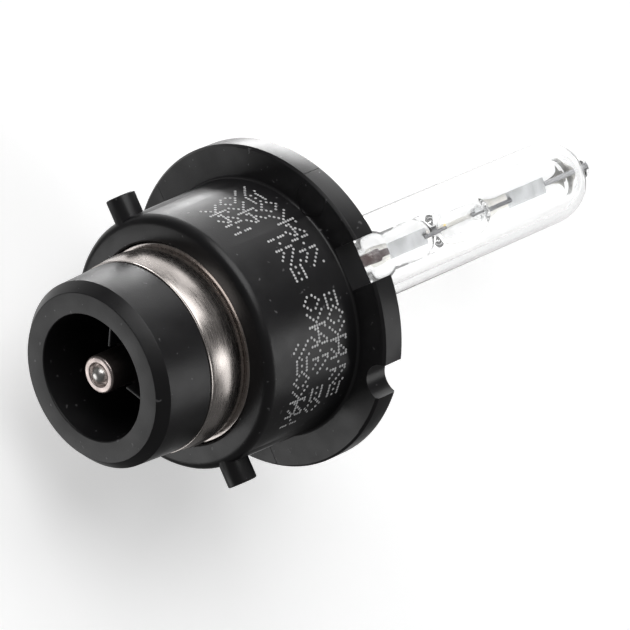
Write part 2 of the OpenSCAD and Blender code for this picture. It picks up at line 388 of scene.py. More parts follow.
def oxidisedWire(name, oxide, bare):
    # dark brown at the hot cap end, bare grey further along the axis
    f = Finish(name)
    split = f.add("ShaderNodeSeparateXYZ")
    f.wire(f.place, split.inputs[0])
    along = f.add("ShaderNodeMapRange")
    along.inputs["From Min"].default_value = 0.013
    along.inputs["From Max"].default_value = 0.036
    f.wire(split.outputs["X"], along.inputs["Value"])
    stain = f.noise(900, 4)
    patchy = f.mixed(f.ramp(stain, [(0.35, 0.0), (0.7, 0.35)]), oxide, bare)
    f.wire(f.mixed(along.outputs[0], patchy, bare), f.shader.inputs["Base Color"])
    f.wire(f.ramp(stain, [(0.3, 0.6), (0.7, 0.4)]), f.shader.inputs["Roughness"])
    f.wire(f.bump(f.noise(3600, 3), 0.3, 0.00003), f.shader.inputs["Normal"])
    f.shader.inputs["Metallic"].default_value = 1.0
    return f.material


def clearQuartz(name, ripple=0.04):
    # clear glass that lets lamps light what it holds
    f = Finish(name)
    f.wire(f.ramp(f.noise(160, 2), [(0.3, (0.985, 0.99, 0.99)), (0.7, (1.0, 1.0, 1.0))]),
           f.shader.inputs["Base Color"])
    f.shader.inputs["Transmission Weight"].default_value = 1.0
    f.shader.inputs["IOR"].default_value = 1.458
    f.shader.inputs["Roughness"].default_value = 0.0
    f.wire(f.bump(f.noise(1.0, 2, f.stretched((60, 400, 400))), ripple, 0.0002), f.shader.inputs["Normal"])
    lamp = f.add("ShaderNodeLightPath")
    clear = f.add("ShaderNodeBsdfTransparent")
    choice = f.add("ShaderNodeMixShader")
    f.wire(lamp.outputs["Is Shadow Ray"], choice.inputs[0])
    f.wire(f.shader.outputs[0], choice.inputs[1])
    f.wire(clear.outputs[0], choice.inputs[2])
    f.wire(choice.outputs[0], f.output.inputs["Surface"])
    return f.material


def chalkyCeramic(name):
    f = Finish(name)
    f.wire(f.ramp(f.noise(500, 5), [(0.3, (0.80, 0.77, 0.71)), (0.7, (0.90, 0.88, 0.84))]),
           f.shader.inputs["Base Color"])
    f.wire(f.ramp(f.noise(2400, 3), [(0.3, 0.5), (0.7, 0.75)]), f.shader.inputs["Roughness"])
    f.wire(f.bump(f.noise(5200, 3), 0.3, 0.00003), f.shader.inputs["Normal"])
    return f.material


def saltCrust(name):
    f = Finish(name)
    f.wire(f.ramp(f.noise(4200, 4), [(0.3, (0.62, 0.42, 0.08)), (0.7, (0.95, 0.84, 0.45))]),
           f.shader.inputs["Base Color"])
    f.wire(f.ramp(f.noise(3000, 3), [(0.3, 0.35), (0.7, 0.7)]), f.shader.inputs["Roughness"])
    f.wire(f.bump(f.noise(6000, 4), 0.6, 0.00008), f.shader.inputs["Normal"])
    return f.material


def printedInk(name):
    f = Finish(name)
    f.wire(f.ramp(f.noise(2600, 3), [(0.3, (0.52, 0.52, 0.53)), (0.65, (0.86, 0.86, 0.86))]),
           f.shader.inputs["Base Color"])
    f.wire(f.ramp(f.noise(1900, 2), [(0.3, 0.5), (0.7, 0.8)]), f.shader.inputs["Roughness"])
    return f.material


capPlastic = mouldedPlastic("capPlastic", (0.012, 0.0115, 0.0125), 0.33)
collarPlastic = mouldedPlastic("collarPlastic", (0.013, 0.0125, 0.0135), 0.36)
contactSteel = scratchedSteel("contactSteel", (0.64, 0.59, 0.56), 0.2)
contactNickel = plainMetal("contactNickel", (0.74, 0.64, 0.61), 0.3)
weldMetal = plainMetal("weldMetal", (0.93, 0.91, 0.88), 0.3, 1400, 0.08)
leadMetal = oxidisedWire("leadMetal", (0.05, 0.022, 0.02), (0.36, 0.36, 0.37))
sealFoil = plainMetal("sealFoil", (0.58, 0.59, 0.60), 0.45, 600, 0.2)
darkTungsten = plainMetal("darkTungsten", (0.23, 0.23, 0.24), 0.4)
holderSteel = scratchedSteel("holderSteel", (0.66, 0.66, 0.66), 0.26, 0.2)
nickelWire = plainMetal("nickelWire", (0.60, 0.58, 0.54), 0.32)
outerQuartz = clearQuartz("outerQuartz", 0.003)
arcQuartz = clearQuartz("arcQuartz", 0.02)
whiteCeramic = chalkyCeramic("whiteCeramic")
meltedSalts = saltCrust("meltedSalts")
printInk = printedInk("printInk")
print("finishes ready")


# ---- camera, light and floor ----

studio = {
    "cameraPlace": (-0.30911, 0.0, 0.32735),
    "cameraTurn": (20.330, -39.577, -30.731),   # degrees
    "lens": 259.3,
    "brightPole": (0.70, 0.55, -0.45),          # the room is brightest this way and dims away from it
    "brightSide": 1.0,
    "dimSide": 0.1,
    "floorTone": 0.9,
    "roomFade": (0.35, 0.95),                   # cosine from the bright pole
    "floorGlow": (0.44, 1.0),                   # under the lamp, far away
    "glowReach": (0.08, 0.6),
    "lamps": (                                  # name, place, aim, size, watts
        ("keyLamp", (-0.12, 0.42, 0.68), (0, 0, 0), (0.80, 0.80), 4.4),
        ("sideLamp", (0.64, 0.43, -0.225), (0, 0, 0), (0.45, 0.45), 4.0),
        ("upperLamp", (0.53, 0.50, 0.33), (0, 0, 0), (0.4, 0.35), 0.42),
        ("rightLamp", (0.53, -0.50, 0.34), (0, 0, 0), (0.4, 0.4), 0.65),
        ("stripLamp", (0.34, -0.42, 0.59), (0, 0, 0), (0.22, 0.22), 0.42),
        ("fillLamp", (-0.075, -0.005, -0.072), (-0.02, 0, 0), (0.06, 0.06), 0.016),
    ),
}


def areaLamp(name, place, aim, size, power):
    data = bpy.data.lights.new(name, "AREA")
    data.shape = "RECTANGLE"
    data.size, data.size_y = size
    data.energy = power
    lamp = bpy.data.objects.new(name, data)
    bpy.context.scene.collection.objects.link(lamp)
    lamp.location = place
    lamp.visible_camera = False
    lamp.rotation_euler = (Vector(aim) - Vector(place)).to_track_quat("-Z", "Y").to_euler()


def makeStudio():
    scene = bpy.context.scene
    scene.view_settings.view_transform = "Standard"
    data = bpy.data.cameras.new("camera")
    data.lens = studio["lens"]
    data.clip_start = 0.01
    data.dof.use_dof = False
    camera = bpy.data.objects.new("camera", data)
    scene.collection.objects.link(camera)
    camera.location = studio["cameraPlace"]
    camera.rotation_euler = [math.radians(v) for v in studio["cameraTurn"]]
    scene.camera = camera

    world = bpy.data.worlds.new("studio")
    scene.world = world
    world.use_nodes = True
    nodes, links = world.node_tree.nodes, world.node_tree.links
    facing = nodes.new("ShaderNodeVectorMath")
    facing.operation = "DOT_PRODUCT"
    facing.inputs[1].default_value = studio["brightPole"]
    links.new(nodes.new("ShaderNodeTexCoord").outputs["Generated"], facing.inputs[0])
    room = nodes.new("ShaderNodeMapRange")
    room.interpolation_type = "SMOOTHSTEP"
    room.inputs["From Min"].default_value, room.inputs["From Max"].default_value = studio["roomFade"]
    room.inputs["To Min"].default_value = studio["dimSide"]
    room.inputs["To Max"].default_value = studio["brightSide"]
    links.new(facing.outputs["Value"], room.inputs["Value"])
    ray = nodes.new("ShaderNodeLightPath")
    through = nodes.new("ShaderNodeMath")
    through.operation = "MAXIMUM"
    links.new(ray.outputs["Is Camera Ray"], through.inputs[0])
    links.new(ray.outputs["Is Transmission Ray"], through.inputs[1])
    seen = nodes.new("ShaderNodeMix")
    links.new(through.outputs[0], seen.inputs[0])
    links.new(room.outputs[0], seen.inputs[2])
    seen.inputs[3].default_value = 1.0
    background = nodes["Background"]
    background.inputs["Color"].default_value = (1, 1, 1, 1)
    links.new(seen.outputs[0], background.inputs["Strength"])

    for lamp in studio["lamps"]:
        areaLamp(*lamp)

    deselectAll()
    bpy.ops.mesh.primitive_plane_add(size=6, location=(0, 0, cadBox[0].z - 0.0001))
    floor = bpy.context.object
    floor.name = "floor"
    f = Finish("paleFloor")
    tone = studio["floorTone"]
    f.wire(f.ramp(f.noise(8, 3), [(0.3, tone - 0.01), (0.7, tone + 0.01)]), f.shader.inputs["Base Color"])
    f.shader.inputs["Roughness"].default_value = 0.5
    f.shader.inputs["Emission Color"].default_value = (1, 1, 1, 1)
    far = f.add("ShaderNodeVectorMath", operation="LENGTH")
    f.wire(f.place, far.inputs[0])
    glow = f.add("ShaderNodeMapRange", interpolation_type="SMOOTHSTEP")
    glow.inputs["From Min"].default_value, glow.inputs["From Max"].default_value = studio["glowReach"]
    glow.inputs["To Min"].default_value, glow.inputs["To Max"].default_value = studio["floorGlow"]
    f.wire(far.outputs["Value"], glow.inputs["Value"])
    f.wire(glow.outputs[0], f.shader.inputs["Emission Strength"])
    floor.data.materials.append(f.material)
    floor.visible_glossy = False
    floor.visible_diffuse = False
    floor.visible_shadow = False


makeStudio()
print("studio ready")


# ---- cap body ----

capLow, capHigh = (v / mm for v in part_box("cap_body"))

cap = {
    "drumRootRadius": 13.25,
    "drumRearRadius": 12.95,
    "drumEdge": 0.95,
    "mouthRadius": 10.3,
    "mouthEdge": 0.22,
    "flangeRear": -3.0,
    "flangeFront": -0.3,
    "flangeEdge": 0.25,
    "rootFillet": 0.3,
    "hub": (10.4, 1.5),          # radius, height
    "turretRadius": 8.2,
    "throatRadius": 4.65,
    "cavityFloor": -5.0,
    "keySlotWidth": 4.4,
    "keySlotFloor": 13.4,
    "notchRadius": 1.9,
    "notchAngle": 134,
    "pinRadius": 1.5,
    "pinTip": 15.15,
    "pinEdge": 0.2,
    "padRadius": 1.8,
    "padDistance": 14.5,
    "padAngles": (60, 180, 300),
    "wireOffset": 7.6,
    "bossRadius": 2.2,
    "sliderHalfWidth": (6.35, 2.91),    # at the flange, at the rear
    "sliderStep": 0.05,
    "partingAngle": 53,
    "partingWidth": 0.06,
    "wireHoleRadius": 0.45,
    "sleeveSeat": (2.4, 1.42),          # station, radius
    "witness": (60, 15.0, 1.8),         # angle, distance, radius
}


def drumRadius(x):
    share = (x - cap["flangeRear"]) / (capLow.x - cap["flangeRear"])
    return cap["drumRootRadius"] + (cap["drumRearRadius"] - cap["drumRootRadius"]) * share


def makeSliderTool():
    # the moulding tool's side sliders leave a slightly lower field round each bayonet pin
    front, rear = cap["flangeRear"] + 0.03, capLow.x - 0.5
    step = cap["sliderStep"]
    ringTool = turnedPiece("sliderTool", rounded([
        (front, drumRadius(front) - step, 0.3), (rear, drumRadius(rear) - step, 0), (rear, 18, 0),
        (front, 18, 0)]), 240)
    wide, narrow = cap["sliderHalfWidth"]
    deselectAll()
    bpy.ops.mesh.primitive_cube_add(size=1, location=((front + rear) / 2 * mm, 0, 0))
    wedge = bpy.context.object
    wedge.scale = ((front - rear) * mm + 0.0002, 40 * mm, 2 * wide * mm)
    settle(wedge)
    selectFaces(wedge, lambda c, n: n.x < -0.9)
    openEditKeeping(wedge, "FACE")
    bpy.ops.transform.resize(value=(1, 1, narrow / wide))
    closeEdit()
    return cut(ringTool, wedge, "INTERSECT")


def makeCapBody():
    flangeRadius = capHigh.y
    rear, front = capLow.x, capHigh.x
    hubRadius, hubTop = cap["hub"]
    edge = cap["flangeEdge"]
    corners = [
        (cap["cavityFloor"], cap["mouthRadius"], 0),
        (rear, cap["mouthRadius"], cap["mouthEdge"]),
        (rear, cap["drumRearRadius"], cap["drumEdge"]),
        (cap["flangeRear"], cap["drumRootRadius"], cap["rootFillet"]),
        (cap["flangeRear"], flangeRadius - edge, 0.05),
        (cap["flangeRear"] + edge, flangeRadius, 0.05),
        (cap["flangeFront"], flangeRadius, edge),
        (cap["flangeFront"], hubRadius, 0.15),
        (hubTop, hubRadius, 0.3),
        (hubTop, cap["turretRadius"], 0.15),
        (front, cap["turretRadius"], 0.3),
        (front, cap["throatRadius"], 0.2),
        (cap["cavityFloor"], cap["throatRadius"], 0),
    ]
    body = turnedPiece("capBody", rounded(corners), 240)
    cut(body, makeSliderTool())

    slotMiddle = ((cap["flangeRear"] + cap["flangeFront"]) / 2, 0, cap["keySlotFloor"] + 5)
    cut(body, block("slotTool", slotMiddle, (8, cap["keySlotWidth"], 10)))

    # a block 1 mm high, which dips 0.04 mm into the rim
    seam = block("seam", (-1.6, flangeRadius + 0.46, 0), (4, 1, cap["partingWidth"]))
    cut(body, turnAbout(seam, cap["partingAngle"]))

    degrees, distance, radius = cap["witness"]
    a = math.radians(degrees)
    y, z = distance * math.cos(a), distance * math.sin(a)
    mark = axialRod("mark", cap["flangeRear"] - 0.5, cap["flangeRear"] + 0.025, radius, y, z, 64)
    core = axialRod("markCore", cap["flangeRear"] - 1, cap["flangeRear"] + 1, radius - 0.1, y, z, 64)
    cut(mark, core)
    cut(body, mark)

    angle = math.radians(cap["notchAngle"])
    notchTool = axialRod("notchTool", -6, 1, cap["notchRadius"],
                         flangeRadius * math.cos(angle), flangeRadius * math.sin(angle), 64)
    cut(body, notchTool)

    wireHole = axialRod("wireHole", -8, 6, cap["wireHoleRadius"], 0, -cap["wireOffset"], 24)
    boss = axialRod("boss", 0, front, cap["bossRadius"], 0, -cap["wireOffset"], 48, 0.25)
    cut(body, boss, "UNION")
    cut(body, wireHole)
    seatStation, seatRadius = cap["sleeveSeat"]
    seat = axialRod("seat", seatStation, 6, seatRadius, 0, -cap["wireOffset"], 40)
    cut(body, seat)

    for degrees in cap["padAngles"]:
        a = math.radians(degrees)
        pad = axialRod("pad", -1.0, 0.0, cap["padRadius"],
                       cap["padDistance"] * math.cos(a), cap["padDistance"] * math.sin(a), 48, 0.1)
        cut(body, pad, "UNION")

    for side in (-1, 1):
        bpy.ops.mesh.primitive_cylinder_add(
            vertices=48, radius=cap["pinRadius"] * mm, depth=(cap["pinTip"] - 11.5) * mm,
            location=((rear + cap["pinRadius"] + 0.1) * mm, side * (cap["pinTip"] + 11.5) / 2 * mm, 0),
            rotation=(math.pi / 2, 0, 0))
        pin = settle(bpy.context.object)
        tip = cap["pinTip"] * mm
        bevelEdges(pin, lambda a, b: abs(abs(a.y) - tip) < 1e-6 and abs(abs(b.y) - tip) < 1e-6,
                   cap["pinEdge"], 3, 0.6)
        cut(body, pin, "UNION")
    tidyMesh(body, 2e-6)
    return placed(smooth(body, 28), ["cap_body"], capPlastic)


makeCapBody()
print("cap body made")


# ---- printed code, as plain dot patterns ----

printing = {
    "dotRadius": 0.145,
    "columnStep": 1.42,     # degrees
    "rowStep": 0.34,
    "lines": (
        (-4.75, (32, 39.6, 47.2, 54.8, 62.4, 70, 77.6, 96.5, 103.4, 110.3, 117.2, 124.1, 131, 137.9)),
        (-7.35, (34, 41.6, 49.2, 66, 73.5, 81, 94.5, 101.5, 108.5, 115.5, 122.5, 136, 143)),
        (-9.95, (36, 43.5, 51, 112, 119, 126, 133, 140, 147)),
    ),
}

dotPatterns = (
    lambda r, c: (r - c) % 4 == 0,
    lambda r, c: r in (1, 5) or (r == 3 and c % 2 == 0),
    lambda r, c: abs(r - 3) + abs(c - 2) == 3,
    lambda r, c: c == (0, 1, 2, 3, 2, 1, 0)[r] or c == 4,
    lambda r, c: (r + c) % 4 == 0 or r == 3,
    lambda r, c: c in (0, 4) and r != 3 or (r == 3 and c == 2),
)


def makePrintedMarks():
    dot = axialRod("printDot", -0.03, 0.02, printing["dotRadius"], sides=8)
    copies = []
    count = 0
    for start, angles in printing["lines"]:
        for angle in angles:
            pattern = dotPatterns[count % len(dotPatterns)]
            count += 1
            for r in range(7):
                for c in range(5):
                    if not pattern(r, c):
                        continue
                    x = start - r * printing["rowStep"]
                    turn = math.radians(angle + c * printing["columnStep"])
                    piece = dot.copy()
                    piece.data = dot.data.copy()
                    bpy.context.scene.collection.objects.link(piece)
                    radius = drumRadius(x) * mm
                    out = Vector((0, math.cos(turn), math.sin(turn)))
                    along = Vector((0, -math.sin(turn), math.cos(turn)))
                    piece.matrix_world = Matrix((
                        (0, -1, 0, x * mm),
                        (out.y, 0, along.y, radius * out.y),
                        (out.z, 0, along.z, radius * out.z),
                        (0, 0, 0, 1)))
                    copies.append(piece)
    bpy.data.objects.remove(dot, do_unlink=True)
    marks = joined("printedMarks", copies)
    settle(marks)
    tidyMesh(marks, 1e-7)
    return placed(marks, [], printInk)


makePrintedMarks()
print("printed marks made")


# ---- socket collar ----

collarLow, collarHigh = (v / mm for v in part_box("socket_collar"))

collar = {
    "wellRadius": 6.37,
    "wellDepth": 10.0,
    "faceRadius": 8.5,
    "chamferLength": 1.1,
    "rearRadius": 9.4,
    "frontRadius": 9.65,
    "frontStation": -20.1,
    "spigotRadius": 9.15,
    "flangeStation": -14.85,
    "webThickness": 0.36,
    "webEdge": 0.12,
    "webAngles": (51, 129),
}


centre = {
    "dishRadius": 1.24,
    "dishDepth": 0.45,
    "boreRadius": 0.45,
    "rimEdge": 0.26,
    "shankRadius": 1.6,
    "beadRadius": 0.93,
    "beadBluntness": 0.9,
    "beadLumps": 9,
    "lumpReach": 0.3,
}


def makeSocketCollar():
    rear, front = collarLow.x, collarHigh.x
    floor = rear + collar["wellDepth"]
    corners = [
        (rear, collar["wellRadius"], 0.14),
        (rear, collar["faceRadius"], 0.12),
        (rear + collar["chamferLength"], collar["rearRadius"], 0.08),
        (collar["frontStation"], collar["frontRadius"], 0.08),
        (collar["frontStation"], collar["spigotRadius"], 0),
        (collar["flangeStation"], collar["spigotRadius"], 0),
        (collar["flangeStation"], collarHigh.y, 0.1),
        (front, collarHigh.y, 0.2),
        (front, centre["shankRadius"] + 0.01, 0),
        (floor, centre["shankRadius"] + 0.01, 0),
        (floor, collar["wellRadius"], 0.5),
    ]
    body = turnedPiece("socketCollar", rounded(corners), 200)
    for degrees in collar["webAngles"]:
        web = block("web", ((rear + 0.55 + floor) / 2, 5.1, 0),
                    (floor - rear - 0.5, 3.4, collar["webThickness"]))
        # the inner rear corner drops away and the whole edge is softened
        for vertex in web.data.vertices:
            if vertex.co.x < (rear + 2) * mm and vertex.co.y < 4 * mm:
                vertex.co.x += 0.8 * mm
        bevelEdges(web, lambda a, b: abs(a.z - b.z) < 1e-7, collar["webEdge"], 2)
        cut(body, turnAbout(web, degrees), "UNION")
    tidyMesh(body, 2e-6)
    return placed(smooth(body, 28), ["socket_collar"], collarPlastic)


makeSocketCollar()
print("socket collar made")


# ---- ring contact ----

ringLow, ringHigh = (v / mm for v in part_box("ring_contact"))

ring = {
    "endRadius": 9.67,
    "fullRadius": 10.0,
    "beadRadius": 9.76,         # thin rolled bead against the collar
    "beadLength": 0.2,
    "rootStation": -15.35,
    "grooveStation": -15.02,
    "lipStation": -15.25,
    "lipRadii": (9.72, 10.18),
    "boreRadius": 9.16,
    "steps": 22,
}


def makeRingContact():
    rear = ringLow.x
    bead = rear + ring["beadLength"]
    path = [Vector((rear, ring["boreRadius"]))]
    path += rounded([(rear, ring["boreRadius"], 0), (rear, ring["beadRadius"], 0.07),
                     (bead, ring["beadRadius"], 0.07), (bead + 0.08, ring["endRadius"] - 0.05, 0)],
                    closed=False)[1:]
    first = bead + 0.12
    length = ring["rootStation"] - first
    for k in range(ring["steps"] + 1):
        share = k / ring["steps"]
        swell = (ring["fullRadius"] - ring["endRadius"]) * (1 - (2 * share - 1) ** 2)
        path.append(Vector((first + length * share, ring["endRadius"] - 0.02 + swell)))
    inner, outer = ring["lipRadii"]
    path += rounded([
        (ring["rootStation"], ring["endRadius"] - 0.02, 0),
        (ring["grooveStation"], ring["endRadius"] - 0.1, 0.03),
        (ring["grooveStation"], inner, 0.03),
        (ring["lipStation"], inner + 0.04, 0.06),
        (ring["lipStation"], outer, 0.1),
        (ringHigh.x, outer, 0.05),
        (ringHigh.x, ring["boreRadius"], 0)], closed=False)[1:]
    body = turnedPiece("ringContact", path, 220)
    return placed(smooth(body, 40), ["ring_contact"], contactSteel)


makeRingContact()
print("ring contact made")


# ---- centre contact and its weld ----

pinLow, pinHigh = (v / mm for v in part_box("centre_contact"))


def makeCentreContact():
    rear = pinLow.x
    floor = rear + centre["dishDepth"]
    corners = [
        (floor, centre["boreRadius"], 0),
        (floor, 0.8, 0.05),
        (floor - 0.12, centre["dishRadius"] - 0.15, 0.1),
        (rear, centre["dishRadius"], 0.12),
        (rear, pinHigh.y, centre["rimEdge"]),
        (collarLow.x + collar["wellDepth"], pinHigh.y, 0),
        (collarLow.x + collar["wellDepth"], centre["shankRadius"], 0),
        (pinHigh.x, centre["shankRadius"], 0.15),
        (pinHigh.x, centre["boreRadius"], 0),
    ]
    body = turnedPiece("centreContact", rounded(corners), 96)
    placed(smooth(body, 40), ["centre_contact"], contactNickel)


def makeWeldBead():
    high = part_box("centre_weld_bead")[1] / mm
    deselectAll()
    bpy.ops.mesh.primitive_uv_sphere_add(segments=48, ring_count=24, radius=centre["beadRadius"] * mm,
                                         location=(high.x * mm, 0, 0), rotation=(0, -math.pi / 2, 0))
    bead = settle(bpy.context.object)
    bead.name = "weldBead"
    openAll(bead)
    bpy.ops.mesh.bisect(plane_co=(high.x * mm, 0, 0), plane_no=(1, 0, 0), clear_outer=True, use_fill=True)
    closeEdit()
    random.seed(5)
    lumps = [(Vector((random.uniform(-0.7, -0.1), random.uniform(-0.6, 0.6), random.uniform(-0.6, 0.6))),
              random.uniform(-0.14, 0.0)) for _ in range(centre["beadLumps"])]
    for vertex in bead.data.vertices:
        local = Vector((vertex.co.x / mm - high.x, vertex.co.y / mm, vertex.co.z / mm))
        push = sum(depth * math.exp(-((local - spot).length / centre["lumpReach"]) ** 2)
                   for spot, depth in lumps)
        if vertex.co.x < (high.x - 0.02) * mm:
            out = min(1.0, math.hypot(local.y, local.z) / centre["beadRadius"])
            blunt = -centre["beadBluntness"] * (1 - out ** 2.6) ** 0.75
            vertex.co = Vector(((high.x + blunt * (1 + push)) * mm,
                                local.y * (1 + push) * mm, local.z * (1 + push) * mm))
    placed(smooth(bead, 60), ["centre_weld_bead"], weldMetal)


makeCentreContact()
makeWeldBead()
print("centre contact made")


# ---- quartz ----

tubeLow, tubeHigh = (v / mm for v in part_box("outer_tube"))
arcLow, arcHigh = (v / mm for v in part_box("arc_tube"))

quartz = {
    "wall": 1.0,
    "neckRadius": 2.1,
    "shoulder": (10.8, 13.6),
    "domeStart": 41.6,
    "gap": 0.015,            # between the fused faces, so that they don't coincide
    "arcStation": 27.1,
    "chamberHalfLength": 4.6,
    "plasmaRadius": 1.35,
    "plasmaHalfLength": 3.7,
    "tipRadius": 1.15,
}


def domePoints(radius, start, length, steps=14):
    neck = quartz["neckRadius"] + quartz["gap"]
    return [Vector((start + length * math.sin(math.radians(90 * k / steps)),
                    neck + (radius - neck) * math.cos(math.radians(90 * k / steps))))
            for k in range(steps + 1)]


def makeOuterTube():
    outer = tubeHigh.y
    bore = outer - quartz["wall"]
    neck = quartz["neckRadius"] + quartz["gap"]
    domeLength = tubeHigh.x - quartz["domeStart"]
    path = rounded([(tubeLow.x, neck, 0), (tubeLow.x, outer, 0.4), (quartz["domeStart"], outer, 0)],
                   closed=False)
    path += domePoints(outer, quartz["domeStart"], domeLength)[1:]
    inner = domePoints(bore, quartz["domeStart"], domeLength - quartz["wall"])
    path += list(reversed(inner))
    rear, front = quartz["shoulder"]
    path.append(Vector((front, bore)))
    for k in range(1, 13):
        share = k / 12
        path.append(Vector((front + (rear - front) * share, bore - (bore - neck) * eased(share))))
    body = turnedPiece("outerTube", path, 160)
    placed(smooth(body, 50), ["outer_tube"], outerQuartz)


def makeArcTube():
    neck = quartz["neckRadius"]
    station = quartz["arcStation"]
    halfLength = quartz["chamberHalfLength"]
    full = arcHigh.y
    path = [Vector((arcLow.x, 0)), Vector((arcLow.x, neck - 0.3)), Vector((arcLow.x + 0.3, neck))]
    steps = 36
    blend = 1.35
    for k in range(steps + 1):
        s = -blend + 2 * blend * k / steps
        oval = math.sqrt(max(0.0, 1 - min(1.0, abs(s)) ** 2))
        radius = (neck ** 6 + (full * oval) ** 6) ** (1 / 6)
        path.append(Vector((station + s * halfLength, radius)))
    path += [Vector((tubeHigh.x - 1.2, neck))]
    tip = quartz["tipRadius"]
    for k in range(1, 9):
        share = k / 8
        path.append(Vector((tubeHigh.x - 0.9 + 1.9 * share, neck - (neck - tip - 0.12) * eased(share))))
    path += rounded([(tubeHigh.x + 1.0, tip + 0.12, 0), (arcHigh.x, tip, 0.35), (arcHigh.x, 0, 0)],
                    closed=False)[1:]
    body = turnedPiece("arcTube", path, 120, closed=False)
    cavity = [Vector((station + quartz["plasmaHalfLength"] * math.cos(math.radians(180 - 180 * k / 28)),
                      quartz["plasmaRadius"] * math.sin(math.radians(180 * k / 28)))) for k in range(29)]
    hollow = turnedPiece("hollow", cavity, 96, closed=False)
    openAll(hollow)
    bpy.ops.mesh.flip_normals()
    closeEdit()
    body = joined("arcTube", [body, hollow])
    placed(smooth(body, 50), ["arc_tube"], arcQuartz)


makeOuterTube()
makeArcTube()
print("quartz made")


# ---- seals, electrodes, leads and salts ----

seal = {
    "tilt": 35,
    "foilWidth": 1.1,
    "foilThickness": 0.05,
    "electrodeLift": 0.18,
}


def makeFoil(name, node):
    low, high = (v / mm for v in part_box(node))
    foil = block(name, ((low.x + high.x) / 2, 0, 0),
                 (high.x - low.x, seal["foilWidth"], seal["foilThickness"]))
    openAll(foil)
    bpy.ops.mesh.subdivide(number_cuts=7)
    closeEdit()
    half = seal["foilWidth"] / 2 * mm
    for vertex in foil.data.vertices:
        out = abs(vertex.co.y) / half
        vertex.co.z *= 1 - 0.75 * out ** 3                     # feathered long edges
        vertex.co.z += 0.012 * mm * math.sin(vertex.co.x / mm * 2.4)
    turnAbout(foil, seal["tilt"])
    placed(smooth(foil, 40), [node], sealFoil)


def makeElectrode(name, node, tipFirst):
    low, high = (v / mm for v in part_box(node))
    rod = axialRod(name, low.x + 0.1, high.x - 0.1, 0.13, 0, seal["electrodeLift"], 20, 0.03)
    tipX = low.x + 0.2 if tipFirst else high.x - 0.2
    bpy.ops.mesh.primitive_uv_sphere_add(segments=20, ring_count=12, radius=0.18 * mm,
                                         location=(tipX * mm, 0, seal["electrodeLift"] * mm))
    ball = settle(bpy.context.object)
    body = cut(rod, ball, "UNION")
    turnAbout(body, seal["tilt"])
    placed(smooth(body, 50), [node], darkTungsten)


def makeRearLead():
    low, high = (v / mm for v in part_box("rear_lead"))
    corners = [(low.x, 0, 0), (low.x, high.y, 0.05), (13.4, high.y, 0.15), (13.6, 0.2, 0.1),
               (high.x, 0.2, 0.08), (high.x, 0, 0)]
    body = turnedPiece("rearLead", rounded(corners, closed=False), 32, closed=False)
    placed(smooth(body, 50), ["rear_lead"], leadMetal)


def makeFrontLead():
    low, high = (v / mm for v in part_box("front_lead"))
    slim = high.y - 0.05
    corners = [(low.x, 0, 0), (low.x, slim, 0.05), (high.x - 3.4, slim, 0.05), (high.x - 3.2, high.y, 0.05),
               (high.x, high.y, 0.06), (high.x, 0, 0)]
    body = turnedPiece("frontLead", rounded(corners, closed=False), 32, closed=False)
    placed(smooth(body, 50), ["front_lead"], leadMetal)


def makeSalts():
    low, high = (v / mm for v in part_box("halide_salts"))
    middle = (low + high) / 2
    random.seed(11)
    grains = []
    for k in range(7):
        bpy.ops.mesh.primitive_ico_sphere_add(subdivisions=3, radius=random.uniform(0.1, 0.2) * mm, location=(
            (middle.x + random.uniform(-0.2, 0.2)) * mm, (middle.y + random.uniform(-0.16, 0.16)) * mm,
            (middle.z + random.uniform(-0.18, 0.0)) * mm))
        grains.append(settle(bpy.context.object))
    heap = joined("halideSalts", grains)
    melt = heap.modifiers.new("melt", "REMESH")
    melt.mode = "VOXEL"
    melt.voxel_size = 0.03 * mm
    applyAll(heap)
    placed(smooth(heap, 60), ["halide_salts"], meltedSalts)


makeFoil("rearFoil", "rear_foil")
makeFoil("frontFoil", "front_foil")
makeElectrode("rearElectrode", "rear_electrode", False)
makeElectrode("frontElectrode", "front_electrode", True)
makeRearLead()
makeFrontLead()
makeSalts()
print("seals made")


# ---- lamp holder ----

holder = {
    "thickness": 0.4,
    "tabWidth": 2.6,
    "tabAngles": (45, 135, 225, 315),
    "tabCorner": 0.6,
    "bandThickness": 0.36,
    "earEdge": 0.08,
}


def makeClampBand():
    low, high = (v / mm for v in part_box("clamp_band"))
    inner = tubeHigh.y + 0.01
    outer = inner + holder["bandThickness"]
    corners = [(low.x, inner, 0.05), (low.x, outer, 0.12), (low.x + 0.5, outer, 0.1),
               (low.x + 0.7, outer - 0.08, 0.1), (high.x - 0.7, outer - 0.08, 0.1),
               (high.x - 0.5, outer, 0.1), (high.x, outer, 0.12), (high.x, inner, 0.05)]
    body = turnedPiece("clampBand", rounded(corners), 128)
    # the two ends of the strip stand out side by side, welded together
    for side in (-1, 1):
        ear = block("ear", ((low.x + high.x) / 2, (outer + high.y) / 2, side * 0.2),
                    (high.x - low.x - 0.2, high.y - outer + 0.3, holder["bandThickness"]))
        bevelEdges(ear, lambda a, b: True, holder["earEdge"], 2)
        cut(body, ear, "UNION")
    placed(smooth(body, 35), ["clamp_band"], holderSteel)


